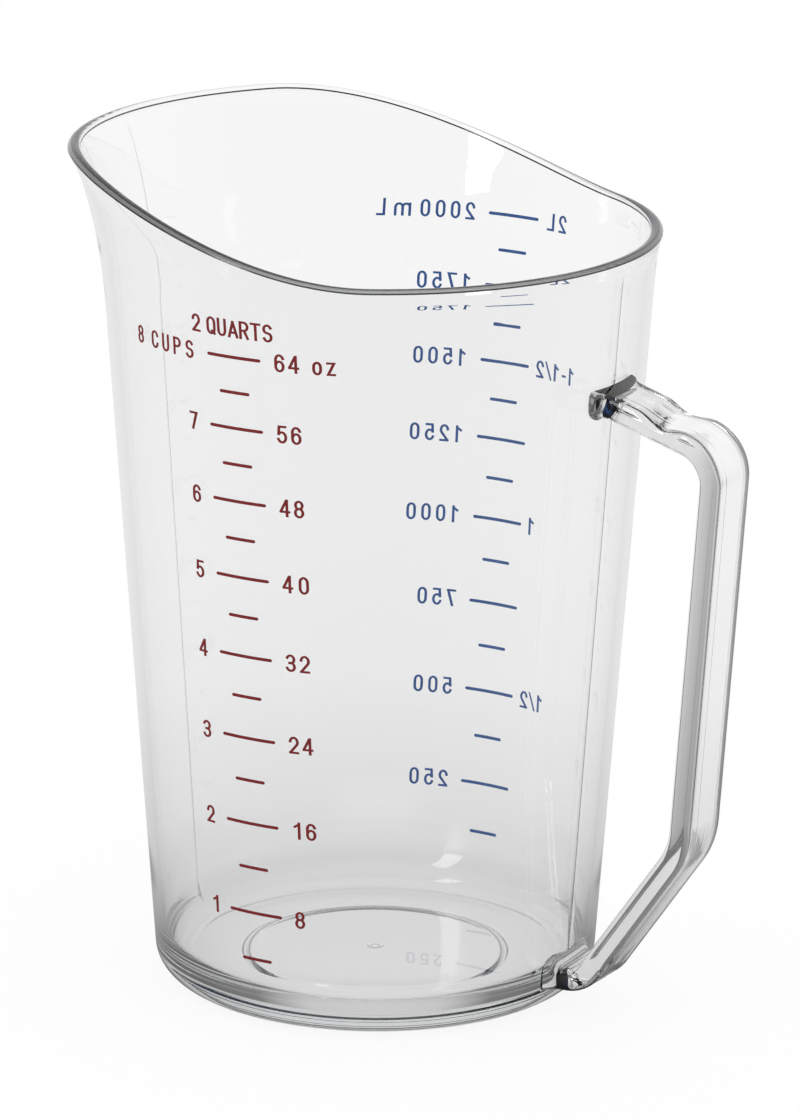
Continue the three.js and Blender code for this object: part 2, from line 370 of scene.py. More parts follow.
def new_material(name: str) -> tuple[bpy.types.Material, NodeSheet]:
    """Starts a material.

    Args:
        name: name of the material.

    Returns:
        The material and its empty sheet of nodes.
    """
    material = bpy.data.materials.new(name)
    material.use_nodes = True
    return material, NodeSheet(material.node_tree)


class Relief(Enum):
    """Which of the handling marks raises a surface."""

    WAVES = "Height"
    RUBS = "Rub"


@dataclass(frozen=True)
class Finish:
    """What the finishes share: a colour that drifts, a gloss that rub marks roughen in places and a fine
    relief.
    """

    name: str
    body: Colour
    drift: Colour
    gloss: Point
    index: float
    waves: float
    rubs: float
    relief: Relief
    relief_height: float
    relief_strength: float

    def surface(self, sheet: NodeSheet) -> bpy.types.Node:
        """Places the finish's shader in its material.

        Args:
            sheet: the material's nodes.

        Returns:
            The shader, with its colour, gloss and relief.
        """
        marks = HandlingMarks.place(sheet, self.waves, self.rubs)
        shader = sheet.add("BsdfPrincipled")
        shader.inputs["IOR"].default_value = self.index
        sheet.join(sheet.blend(marks.outputs["Height"], self.body, self.drift), shader.inputs["Base Color"])
        sheet.join(sheet.spread(marks.outputs["Rub"], *self.gloss), shader.inputs["Roughness"])
        bump = sheet.add("Bump")
        bump.inputs["Strength"].default_value = self.relief_strength
        bump.inputs["Distance"].default_value = self.relief_height
        sheet.join(marks.outputs[self.relief.value], bump.inputs["Height"])
        sheet.join(bump.outputs["Normal"], shader.inputs["Normal"])
        return shader


@dataclass(frozen=True)
class ClearPlastic(Finish):
    """Clear moulded polycarbonate with a breath of waviness, polished; on the lip also greyed with a rougher
    gloss, or made near-black, both as painted shade.
    """

    name: str = "clear_polycarbonate_finish"
    body: Colour = (0.997, 0.998, 0.998)
    drift: Colour = (0.999, 1.0, 1.0)
    gloss: Point = (0.0, 0.006)
    index: float = 1.585
    waves: float = 55.0
    rubs: float = 700.0
    relief: Relief = Relief.WAVES
    relief_height: float = 0.004 * MM
    relief_strength: float = 1.0
    clearness: float = 1.0
    shade: Colour = (0.95, 0.955, 0.96)
    depth_colour: Colour = (0.48, 0.505, 0.515)
    depth_density: float = 6.0

    def material(self) -> bpy.types.Material:
        """Builds the finish, which lets lamps through and keeps a pale shade under the cup.

        Returns:
            The material.
        """
        material, sheet = new_material(self.name)
        shader = self.surface(sheet)
        shader.inputs["Transmission Weight"].default_value = self.clearness
        through = sheet.add("BsdfTransparent")
        through.inputs["Color"].default_value = (*self.shade, 1)
        by_lamp = sheet.add("LightPath").outputs["Is Shadow Ray"]
        depth = sheet.add("VolumeAbsorption")
        depth.inputs["Color"].default_value = (*self.depth_colour, 1)
        depth.inputs["Density"].default_value = self.depth_density
        outlet = sheet.add("OutputMaterial")
        sheet.join(sheet.choose(by_lamp, shader.outputs[0], through.outputs[0]), outlet.inputs["Surface"])
        sheet.join(depth.outputs[0], outlet.inputs["Volume"])
        return material


@dataclass(frozen=True)
class ScreenInk(Finish):
    """Ink printed through a screen: dense, satin, a little thinner in places."""

    gloss: Point = (0.36, 0.55)
    index: float = 1.5
    waves: float = 420.0
    rubs: float = 2600.0
    relief: Relief = Relief.RUBS
    relief_height: float = 0.02 * MM
    relief_strength: float = 0.6
    mirror: float = 0.25

    def material(self) -> bpy.types.Material:
        """Builds the finish.

        Returns:
            The material.
        """
        material, sheet = new_material(self.name)
        shader = self.surface(sheet)
        shader.inputs["Specular IOR Level"].default_value = self.mirror
        sheet.join(shader.outputs[0], sheet.add("OutputMaterial").inputs["Surface"])
        return material


@dataclass
class Vessel:
    """The tapered vessel with its foot, heel, bell mouth and climbing rim, in millimetres."""

    wall_radius: float = 55.6
    draft: float = math.radians(4)
    wall: float = 2.4
    brim_wall: float = 2.75
    lip: float = 3.35
    heel_round: float = 8.0
    floor: float = 5.0
    fillet: float = 10.5
    foot_width: float = 14.3
    recess: float = 2.4
    recess_slope: float = 1.6
    brim: float = 11.7
    spout_rise: float = 20.2
    climb: Point = (math.radians(61), math.radians(144))
    flare_rise: float = 40.0
    flare_spout: float = 6.4
    flare_back: float = 0.6
    lip_rise: float = 9.0
    lip_growth: float = 7.8
    lip_flare: float = 1.2
    lip_top: float = 1.1
    skin: float = 0.1
    skin_start: Point = (1.0, 6.0)
    skin_end: Point = (186.0, 193.0)
    floor_swell: float = 0.9
    seam_height: float = 0.055
    seam_half: float = 0.26
    seam_end: Point = (2.0, 5.0)
    gate: float = 2.2
    gate_height: float = 0.25
    mouth_start: float = field(default_factory=lambda: level_of_bar("ounce_bar_16"))
    full_level: float = field(default_factory=lambda: level_of_bar("metric_bar_16"))
    steps_round: int = 180
    heel_steps: int = 12
    fillet_steps: int = 14
    bead_steps: int = 18
    wall_runs: tuple[tuple[float, float, int], ...] = ((0.0, 0.7, 7), (0.7, 0.94, 16), (0.94, 1.0, 8))
    floor_rings: tuple[float, ...] = (0.97, 0.8, 0.5, 0.2, 0.05)
    gate_rings: tuple[float, float, float] = (0.3, 0.5, 0.7)
    slope_rings: Point = (0.1, 0.9)
    corner_rings: Point = (0.3, 0.8)
    foot_ring: float = 0.6
    seam_rings: tuple[float, ...] = (-1.0, -0.5, 0.5, 1.0)

    @property
    def rim_back(self) -> float:
        """Height of the rim on the handle's side."""
        return self.full_level + self.brim

    @property
    def heel_centre(self) -> Point:
        """Centre of the heel's arc, which touches the table and the wall."""
        lean = math.tan(self.draft) - 1 / math.cos(self.draft)
        return self.wall_radius + self.heel_round * lean, self.heel_round

    @property
    def fillet_centre(self) -> Point:
        """Centre of the inside fillet's arc.

        Returns:
            Radius and height of a place from which the arc touches the floor and the wall.
        """
        height = self.floor + self.fillet
        reach = self.wall_radius + height * math.tan(self.draft) - self.wall
        return reach - self.fillet / math.cos(self.draft), height

    def rim(self, angle: float) -> float:
        """Height of the rim at an angle from the handle."""
        from_handle = math.acos(max(-1.0, min(1.0, math.cos(angle))))
        return self.rim_back + self.spout_rise * smooth_step(from_handle, *self.climb)

    def outside(self, z: float, angle: float) -> float:
        """Measures the outside of the wall: taper, bell mouth and the lip's turn outwards.

        Args:
            z: height above the table.
            angle: angle from the handle, in radians.

        Returns:
            The radius there.
        """
        reach = mix(self.flare_back, self.flare_spout, (1 - math.cos(angle)) / 2)
        bell = reach * (max(0.0, z - self.mouth_start) / self.flare_rise) ** 2
        turn = max(0.0, (z - self.rim(angle)) / self.lip_rise + 1)
        return self.wall_radius + z * math.tan(self.draft) + bell + self.lip_flare * turn ** 2

    def inside(self, z: float, angle: float) -> float:
        """Measures the inside of the wall, thicker at the lip and, towards the spout, above the full mark.

        Args:
            z: height above the table.
            angle: angle from the handle, in radians.

        Returns:
            The radius there.
        """
        top = self.rim(angle)
        brim_wall = mix(self.wall, self.brim_wall, (top - self.rim_back) / self.spout_rise)
        rise = max(0.0, (z - self.full_level) / (top - self.full_level))
        growth = max(0.0, (z - top) / self.lip_growth + 1)
        thickness = mix(self.wall, brim_wall, rise) + (self.lip - brim_wall) * growth ** 2
        return self.outside(z, angle) - thickness

    def bead(self, angle: float) -> list[Point]:
        """Section of the lip's rounded top, from the outside over the rim to the inside.

        Args:
            angle: angle from the handle, in radians.

        Returns:
            Points as radius and height; the first and the last lie on the wall.
        """
        start = self.rim(angle) - self.lip_top
        outer, inner = self.outside(start, angle), self.inside(start, angle)
        turns = [math.pi * share for share in stops(self.bead_steps)]
        return [
            (mix(inner, outer, (1 + math.cos(turn)) / 2), start + self.lip_top * math.sin(turn))
            for turn in turns
        ]

    def skin_at(self, z: float, angle: float) -> float:
        """Measures the clear skin that the print lies in, with the parting line at the handle and the spout.

        Args:
            z: height above the table.
            angle: angle from the handle, in radians.

        Returns:
            The skin's thickness there.
        """
        off = min(1.0, abs(math.sin(angle)) * self.wall_radius / self.seam_half)
        seam = self.seam_height * (1 + math.cos(math.pi * off)) / 2
        seam *= smooth_step(self.rim(angle) - z, *self.seam_end)
        skin = self.skin * (1 - smooth_step(z, *self.skin_end))
        return smooth_step(z, *self.skin_start) * (skin + seam)

    def angles(self) -> list[float]:
        """Sets out the section's copies round the cup, with fine ones beside the two parting lines.

        Returns:
            Their angles from the handle, in radians and in rising order.
        """
        even = [2 * math.pi * i / self.steps_round for i in range(self.steps_round)]
        fine = [self.seam_half / self.wall_radius * share for share in self.seam_rings]
        extra = [(middle + step) % (2 * math.pi) for middle in (0.0, math.pi) for step in fine]
        return sorted(even + extra)

    def underside(self) -> list[Point]:
        """Section under the cup: gate mark, recess and foot.

        Returns:
            Points as radius and height, from the middle out.
        """
        low, gate, gate_low = self.recess, self.gate, self.recess - self.gate_height
        foot = self.heel_centre[0] - self.foot_width
        edge = foot - self.recess_slope
        near, far = self.corner_rings
        inner, crest, outer = (share * gate for share in self.gate_rings)
        slope = [(mix(edge, foot, share), low * (1 - share)) for share in self.slope_rings]
        return [
            (inner, low), (crest, gate_low), (outer, gate_low), (gate, low), (gate + near, low),
            (edge / 2, low), (edge - far, low), (edge - near, low), *slope,
            (foot + near, 0.0), (foot + far, 0.0), (foot + self.foot_ring * self.foot_width, 0.0),
        ]

    def section(self, angle: float) -> list[Point]:
        """Section of the cup at an angle: underside, heel, outside, rim, inside, fillet and floor.

        Args:
            angle: angle from the handle, in radians.

        Returns:
            Points as radius and height, from under the middle of the cup to the middle of its floor.
        """
        bead = self.bead(angle)
        shares = [mix(low, high, t) for low, high, count in self.wall_runs for t in stops(count)[1:]][:-1]
        heel_top = self.heel_round * (1 - math.sin(self.draft))
        heel = arc(self.heel_centre, self.heel_round, -math.pi / 2, -self.draft, self.heel_steps)
        heel = [(r + self.skin_at(z, angle), z) for r, z in heel]
        levels = [mix(heel_top, bead[0][1], share) for share in shares]
        outside = [(self.outside(z, angle) + self.skin_at(z, angle), z) for z in levels]
        reach, height = self.fillet_centre
        fillet_top = height - self.fillet * math.sin(self.draft)
        down = [mix(fillet_top, bead[-1][1], share) for share in reversed([0.0, *shares])]
        inside = [(self.inside(z, angle), z) for z in down]
        fillet = arc((reach, height), self.fillet, -self.draft, -math.pi / 2, self.fillet_steps)[1:]
        swell = [self.floor + self.floor_swell * (1 - share * share) for share in self.floor_rings]
        floor = [(share * reach, z) for share, z in zip(self.floor_rings, swell)]
        return [*self.underside(), *heel, *outside, *bead, *inside, *fillet, *floor]

    def build(self) -> Piece:
        """Models the vessel as one closed skin.

        Returns:
            The vessel's piece.
        """
        angles = self.angles()
        sections = [self.section(angle) for angle in angles]
        rings = [
            [in_frame(r * math.cos(a), r * math.sin(a), z) for a, (r, z) in zip(angles, places)]
            for places in zip(*sections)
        ]
        return Bench.loft("cup_moulding", rings)


@dataclass
class Handle:
    """The strap handle: arm with a thumb rest, grip beside the wall, leg in to the heel, in millimetres."""

    vessel: Vessel
    width: float = 17.0
    thickness: float = 6.0
    edge: float = 1.6
    edge_share: float = 0.45
    grip_gap: float = 29.22
    root_drop: float = 34.9
    arm_slope: float = math.tan(math.radians(16.7))
    leg_top: float = 48.7
    leg_slope: float = math.tan(math.radians(55.5))
    foot_height: float = 9.5
    bends: tuple[float, float, float] = (10.0, 20.0, 9.0)
    side_spread: float = 3.0
    arm_spread: float = 1.8
    leg_spread: float = 4.0
    tail: float = 6.0
    scoop_place: float = 17.8
    scoop_length: float = 15.0
    scoop_depth: float = 1.5
    seam_height: float = 0.04
    seam_half: float = 0.3
    sunk: float = 1.1
    run_step: float = 0.8
    bend_steps: int = 16
    edge_steps: int = 6
    settle_tries: int = 12
    settled: float = 1e-4

    def corners(self) -> list[Vector]:
        """Sets out the corners of the strap's middle line in the handle's plane.

        Returns:
            Corners from the arm's end to the leg's end.
        """
        half = self.thickness / 2

        def on_grip(z: float) -> Vector:
            """A place on the grip's middle line."""
            return Vector((self.vessel.outside(z, 0) + self.grip_gap + half, z))

        root = self.vessel.rim_back - self.root_drop
        run = self.grip_gap + half
        top = root - self.arm_slope * run / (1 + self.arm_slope * math.tan(self.vessel.draft))
        lower = on_grip(self.leg_top)
        arm_end = Vector((self.vessel.outside(root, 0) - self.tail, root + self.tail * self.arm_slope))
        foot = Vector((lower.x - (self.leg_top - self.foot_height) / self.leg_slope, self.foot_height))
        leg_end = Vector((self.vessel.outside(self.foot_height, 0) - self.tail, self.foot_height))
        return [arm_end, on_grip(top), lower, foot, leg_end]

    def route(self) -> list[tuple[Vector, Vector, float]]:
        """Walks the strap's middle line.

        Returns:
            Places with their heading and their distance from the arm's end.
        """
        corners, walk, gone = self.corners(), [], 0.0
        start = corners[0]
        for i, radius in enumerate((*self.bends, 0.0)):
            corner = corners[i + 1]
            heading = (corner - corners[i]).normalized()
            turn = reach = 0.0
            if radius:
                onward = (corners[i + 2] - corner).normalized()
                turn = math.acos(heading.dot(onward))
                reach = radius * math.tan(turn / 2)
            entry = corner - heading * reach
            length = (entry - start).length
            shares = stops(max(1, round(length / self.run_step)))[0 if i == 0 else 1:]
            walk += [(start.lerp(entry, t), heading, gone + length * t) for t in shares]
            gone += length
            if radius:
                inward = Vector((heading.y, -heading.x))
                centre = entry + inward * radius
                for t in stops(self.bend_steps)[1:]:
                    swing = Matrix.Rotation(-turn * t, 2)
                    place = centre - swing @ inward * radius
                    walk.append((place, swing @ heading, gone + radius * turn * t))
                gone += radius * turn
                start = corner + onward * reach
        return walk

    @staticmethod
    def spread(distance: float, reach: float) -> float:
        """Spread of the strap close to the wall, as a quarter circle."""
        near = min(reach, max(0.0, reach - distance))
        return reach - math.sqrt(reach * reach - near * near)

    def scoop(self, distance: float) -> float:
        """Depth of the thumb rest at a distance along the arm from the wall."""
        share = abs(distance - self.scoop_place) / (self.scoop_length / 2)
        return self.scoop_depth * (1 + math.cos(math.pi * share)) / 2 if share < 1 else 0.0

    def outline(self, inner: float, outer: float, width: float, inner_edge: float) -> list[Point]:
        """Outline across the strap.

        Args:
            inner: depth of the finger side from the middle line.
            outer: depth of the outer side from the middle line.
            width: width of the strap.
            inner_edge: rounding of the finger side's edges.

        Returns:
            Points as depth towards the outer side and place across.
        """
        depth, half = inner + outer, width / 2
        out_round = min(self.edge, self.edge_share * depth)
        in_round = min(inner_edge, self.edge_share * width, 2 * self.edge_share * (depth - out_round))
        corners = (
            (outer - out_round, half - out_round, out_round, 0.0),
            (in_round - inner, half - in_round, in_round, 0.5),
            (in_round - inner, in_round - half, in_round, 1.0),
            (outer - out_round, out_round - half, out_round, 1.5),
        )
        edges = [
            arc((x, y), radius, quarter * math.pi, (quarter + 0.5) * math.pi, self.edge_steps)
            for x, y, radius, quarter in corners
        ]
        ridge = [(0.0, 2.0), (0.0, 1.0), (self.seam_height, 0.0), (0.0, -1.0), (0.0, -2.0)]
        finger_seam = [(-inner - rise, across * self.seam_half) for rise, across in ridge]
        outer_seam = [(outer + rise, -across * self.seam_half) for rise, across in ridge]
        return [*edges[0], *edges[1], *finger_seam, *edges[2], *edges[3], *outer_seam]

    def hold_back(self, point: Vector, heading: Vector) -> Vector:
        """Slides a point of a strap's end along its run until it is only sunk into the wall.

        Args:
            point: place from the cup's axis, in millimetres.
            heading: direction out of the wall.

        Returns:
            The point itself where it stands outside, or its place within the wall.
        """
        for _ in range(self.settle_tries):
            angle = math.atan2(point.y, point.x)
            limit = self.vessel.outside(point.z, angle) - self.sunk
            if point.z < self.vessel.heel_round:
                centre, radius = self.vessel.heel_centre, self.vessel.heel_round - self.sunk
                below = min(radius, centre[1] - point.z)
                limit = min(limit, centre[0] + math.sqrt(radius * radius - below * below))
            short = limit - math.hypot(point.x, point.y)
            if short <= self.settled:
                break
            point = point + heading * short
        return point

    def build(self) -> Piece:
        """Models the strap as one closed skin whose ends are sunk into the wall.

        Returns:
            The handle's piece.
        """
        walk = self.route()
        total = walk[-1][2]
        half = self.thickness / 2
        arm_tail = self.tail * math.hypot(1, self.arm_slope)
        slant = half * math.tan(math.atan(self.arm_slope) + self.vessel.draft)
        rings = []
        for place, heading, gone in walk:
            from_root, from_foot = gone - arm_tail, total - self.tail - gone
            sideways = self.spread(from_root, self.side_spread) + self.spread(from_foot, self.side_spread)
            inwards = self.spread(from_root - slant, self.arm_spread)
            inwards += self.spread(from_foot, self.leg_spread)
            outer, width = half - self.scoop(from_root), self.width + 2 * sideways
            outline = self.outline(half + inwards, outer, width, self.edge + inwards)
            normal = Vector((-heading.y, 0, heading.x))
            out = Vector((heading.x, 0, heading.y)) * (1 if gone < total / 2 else -1)
            ring = [Vector((place.x, 0, place.y)) + normal * x + Vector((0, y, 0)) for x, y in outline]
            rings.append([in_frame(*self.hold_back(point, out)) for point in ring])
        return Bench.loft("strap", self.without_flat(rings))

    @staticmethod
    def without_flat(rings: list[list[Vector]]) -> list[list[Vector]]:
        """Leaves out rings that the wall has pressed onto their neighbour.

        Args:
            rings: all rings of the strap, in order.

        Returns:
            The rings that stay, with the first and the last among them.
        """
        def pressed(i: int, beside: int) -> bool:
            """Tells whether some point of a ring lies on its neighbour's."""
            return min((p - q).length for p, q in zip(rings[i], rings[beside])) <= TOUCH * MM

        half, count = len(rings) // 2, len(rings)
        first = max([i for i in range(half) if pressed(i, i + 1)], default=-1) + 1
        last = min([i for i in range(half, count) if pressed(i, i - 1)], default=count)
        ends = [rings[0]] if first else []
        tails = [rings[-1]] if last < count else []
        return ends + rings[first + len(ends):last - len(tails)] + tails


class LipSlot(IntEnum):
    """Places of the lip's painted-shade finishes among the moulding's materials."""

    RUBBED = 1
    EDGE = 2


@dataclass
class ClearMoulding:
    """Vessel and handle as the one clear moulding that they are."""

    vessel: Vessel
    handle: Handle
    finish: ClearPlastic
    # Grey, partly clear painted shade with a rougher gloss, for the lip's outer shoulder.
    rubbed: ClearPlastic
    # Near-black painted shade for the dark lines along the lip's top and where it meets the wall.
    edge: ClearPlastic
    # Upward slopes of the lip's outer faces that get the grey painted shade.
    rubbed_rise: Point = (0.45, 0.9)
    edge_rise: float = 0.42
    crease: float = 28.0

    def build(self) -> Piece:
        """Models, fuses and dresses the moulding.

        Returns:
            The moulding's piece.
        """
        piece = self.vessel.build()
        Bench.fuse(piece, self.handle.build())
        Bench.smooth(piece, self.crease)
        self.sharpen_lip(piece)
        Bench.dress(piece, self.finish.material())
        self.dress_lip(piece)
        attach(piece, "root")
        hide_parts("vessel", "handle")
        return piece

    def sharpen_lip(self, piece: Piece) -> None:
        """Keeps the two lines crisp where the lip's rounded top meets the wall.

        Args:
            piece: the fused moulding.
        """
        def on_join(place: Vector) -> bool:
            """Tells whether a point lies where the top starts."""
            x, y, z = place / MM
            return abs(z + self.vessel.lip_top - self.vessel.rim(math.atan2(y, x - AXIS))) < TOUCH

        joins = [on_join(vertex.co) for vertex in piece.data.vertices]
        for edge in piece.data.edges:
            if all(joins[end] for end in edge.vertices):
                edge.use_edge_sharp = True

    def dress_lip(self, piece: Piece) -> None:
        """Gives the lip its strip of painted grey shade with a rougher gloss, and its painted dark shade
        lines along the top and where it meets the wall.

        Args:
            piece: the moulding, dressed in its main finish.
        """
        for finish in (self.rubbed, self.edge):
            piece.data.materials.append(finish.material())
        low, high = self.rubbed_rise
        for face in piece.data.polygons:
            x, y, z = face.center / MM
            angle = math.atan2(y, x - AXIS)
            if z < self.vessel.rim(angle) - self.vessel.lip_top:
                continue
            outwards = face.normal.dot(Vector((math.cos(angle), math.sin(angle), 0)))
            if outwards > 0:
                # Outer faces of the lip's top: grey painted shade on the shoulder, near-black painted shade
                # above and below it.
                face.material_index = LipSlot.RUBBED if low < face.normal.z < high else LipSlot.EDGE
            # Inner faces of the lip's top: near-black painted shade where they are steep.
            elif face.normal.z < self.edge_rise:
                face.material_index = LipSlot.EDGE


@dataclass(frozen=True)
class Bow:
    """Part of an ellipse in a letter's stroke, in shares of the letter's box and degrees."""

    x: float
    y: float
    across: float
    up: float
    first: float
    last: float
    step: ClassVar[float] = 12.0
    least: ClassVar[int] = 3

    def points(self) -> list[Point]:
        """Walks along the bow.

        Returns:
            Points in shares of the letter's box.
        """
        count = max(self.least, math.ceil(abs(self.last - self.first) / self.step))
        turns = [math.radians(mix(self.first, self.last, t)) for t in stops(count)]
        return [(self.x + self.across * math.cos(a), self.y + self.up * math.sin(a)) for a in turns]


@dataclass(frozen=True)
class Stroke:
    """One stroke of a letter's pen along its middle line."""

    path: tuple[Bow | Point, ...]
    closed: bool = False
    apart: ClassVar[float] = 1e-4

    def points(self) -> list[Point]:
        """Walks along the stroke.

        Returns:
            Points in shares of the letter's box, with no point twice in a row.
        """
        line: list[Point] = []
        for leg in self.path:
            for point in leg.points() if isinstance(leg, Bow) else [leg]:
                if not line or math.dist(point, line[-1]) > self.apart:
                    line.append(point)
        if self.closed and math.dist(line[0], line[-1]) < self.apart:
            line.pop()
        return line


@dataclass(frozen=True)
class Glyph:
    """A letter's box in millimetres, its strokes and the pen's breadth in upright and level strokes."""

    strokes: tuple[Stroke, ...]
    width: float = 2.6
    height: float = 4.5
    pen: Point = (0.71, 0.56)
    longest_corner: ClassVar[float] = 1.7
    sharpest_corner: ClassVar[float] = 0.1
    weld: ClassVar[float] = 1e-5

    def ribbon(self, stroke: Stroke) -> list[list[Vector]]:
        """Lays a stroke out at its full breadth.

        Args:
            stroke: the stroke to lay out.

        Returns:
            Four-cornered patches in millimetres, each turned anticlockwise.
        """
        half = Vector(self.pen) / 2
        room = Vector((self.width, self.height)) - 2 * half
        line = [half + Vector(point) * room for point in stroke.points()]
        if not stroke.closed:
            line[0] = line[0] + (line[0] - line[1]).normalized() * half
            line[-1] = line[-1] + (line[-1] - line[-2]).normalized() * half
        count = len(line)
        sides = []
        for i, point in enumerate(line):
            before = line[i - 1] if i or stroke.closed else None
            after = line[(i + 1) % count] if i + 1 < count or stroke.closed else None
            into = (point - before).normalized() if before else (after - point).normalized()
            onward = (after - point).normalized() if after else into
            middle = (into + onward).normalized()
            corner = min(self.longest_corner, 1 / max(self.sharpest_corner, middle.dot(into)))
            square = Vector((-middle.y, middle.x)) * half * corner
            sides.append((point + square, point - square))
        onwards = sides[1:] + sides[:1] if stroke.closed else sides[1:]
        return [[here[0], here[1], there[1], there[0]] for here, there in zip(sides, onwards)]

    def sheet(self) -> tuple[list[Vector], list[list[int]]]:
        """Welds all strokes into one flat sheet.

        Returns:
            Points in millimetres from the box's lower left corner, and faces as lists of point numbers.
        """
        patches = [patch for stroke in self.strokes for patch in self.ribbon(stroke)]
        points = [point for patch in patches for point in patch]
        faces = [list(range(4 * i, 4 * i + 4)) for i in range(len(patches))]
        welded, _, cells, _, _, owners = delaunay_2d_cdt(points, [], faces, 0, self.weld)
        return welded, [list(cell) for cell, owner in zip(cells, owners) if owner]


ROUND = Stroke((Bow(0.5, 0.7, 0.5, 0.3, 0, 180), Bow(0.5, 0.3, 0.5, 0.3, 180, 360)), closed=True)
STEM = Stroke(((0, 0), (0, 1)))
BOWL = Stroke(((0, 1), Bow(0.5, 0.74, 0.5, 0.26, 90, -90), (0, 0.48)))
LETTERS: dict[str, Glyph] = {
    "0": Glyph((ROUND,)),
    "1": Glyph((Stroke(((1, 0), (1, 1))), Stroke(((0.75, 0.9), (0, 0.76)))), width=1.75),
    "2": Glyph((Stroke((Bow(0.5, 0.7, 0.5, 0.3, 172, -28), (0.06, 0.03))), Stroke(((0, 0), (1, 0))))),
    "3": Glyph((Stroke((Bow(0.48, 0.75, 0.48, 0.25, 160, -90), (0.36, 0.5))),
                Stroke(((0.36, 0.52), Bow(0.48, 0.26, 0.52, 0.26, 90, -160))))),
    "4": Glyph((Stroke(((0.76, 0), (0.76, 1))), Stroke(((0.62, 0.93), (0.02, 0.3))),
                Stroke(((0, 0.26), (1, 0.26)))), width=2.75),
    "5": Glyph((Stroke(((0.94, 1), (0.12, 1), (0.05, 0.52))),
                Stroke(((0.1, 0.55), Bow(0.48, 0.32, 0.52, 0.32, 118, -158))))),
    "6": Glyph((Stroke((Bow(0.5, 0.7, 0.5, 0.3, 18, 180), Bow(0.5, 0.28, 0.5, 0.28, 180, 360),
                        Bow(0.5, 0.32, 0.5, 0.28, 0, 175))),)),
    "7": Glyph((Stroke(((0, 1), (1, 1), (0.36, 0))),)),
    "8": Glyph((Stroke((Bow(0.5, 0.76, 0.45, 0.24, 0, 360),), closed=True),
                Stroke((Bow(0.5, 0.27, 0.5, 0.27, 0, 360),), closed=True))),
    "A": Glyph((Stroke(((0.02, 0), (0.5, 0.94))), Stroke(((0.98, 0), (0.5, 0.94))),
                Stroke(((0.3, 0.26), (0.7, 0.26)))), width=3.0),
    "C": Glyph((Stroke((Bow(0.5, 0.7, 0.5, 0.3, 8, 180), Bow(0.5, 0.3, 0.5, 0.3, 180, 352))),), width=2.7),
    "L": Glyph((Stroke(((0, 1), (0, 0), (1, 0))),), width=2.4),
    "P": Glyph((STEM, BOWL), width=2.65),
    "Q": Glyph((ROUND, Stroke(((0.62, 0.16), (0.98, 0.0)))), width=2.7),
    "R": Glyph((STEM, BOWL, Stroke(((0.55, 0.46), (0.97, 0)))), width=2.65),
    "S": Glyph((Stroke((Bow(0.5, 0.75, 0.48, 0.25, 22, 235), Bow(0.5, 0.26, 0.5, 0.26, 55, -158))),)),
    "T": Glyph((Stroke(((0, 1), (1, 1))), Stroke(((0.5, 0), (0.5, 1)))), width=2.8),
    "U": Glyph((Stroke(((0, 1), Bow(0.5, 0.3, 0.5, 0.3, 180, 360), (1, 1))),)),
    "m": Glyph((STEM, Stroke((Bow(0.25, 0.68, 0.25, 0.32, 180, 0), (0.5, 0))),
                Stroke((Bow(0.75, 0.68, 0.25, 0.32, 180, 0), (1, 0)))), width=4.5, height=3.4),
    "o": Glyph((Stroke((Bow(0.5, 0.62, 0.5, 0.38, 0, 180), Bow(0.5, 0.38, 0.5, 0.38, 180, 360)),
                       closed=True),), width=2.4, height=3.4),
    "z": Glyph((Stroke(((0, 1), (0.96, 1), (0.04, 0), (1, 0))),), width=2.3, height=3.4),
    "-": Glyph((Stroke(((0, 0.42), (1, 0.42))),), width=1.5),
    "/": Glyph((Stroke(((0, 0), (1, 1))),), width=2.4, height=4.7, pen=(0.5, 0.5)),
}
CELL = 2.85  # breadth in which a narrow letter is centred, in millimetres
TALL = 4.5  # height of a numeral, in millimetres


class Hang(Enum):
    """Which end of a word stands at its place on the wall."""

    LEFT = "left end"
    RIGHT = "right end"


@dataclass(frozen=True)
class Word:
    """A word or numeral beside a bar: text, bar number, place along the wall and spacing in millimetres."""

    text: str
    bar: int
    place: float
    pitch: float = 3.6
    hang: Hang = Hang.LEFT
    rise: float = 0.0

    def letters(self) -> list[tuple[Glyph, float]]:
        """Spaces the word's letters.

        Returns:
            Letters with the place of each one's left edge.
        """
        glyphs = [LETTERS[letter] for letter in self.text]
        lefts = [i * self.pitch + max(0.0, (CELL - glyph.width) / 2) for i, glyph in enumerate(glyphs)]
        if len(glyphs) == 1:
            lefts = [0.0]
        end = lefts[-1] + glyphs[-1].width
        start = self.place if self.hang is Hang.LEFT else self.place - end
        return [(glyph, start + left) for glyph, left in zip(glyphs, lefts)]


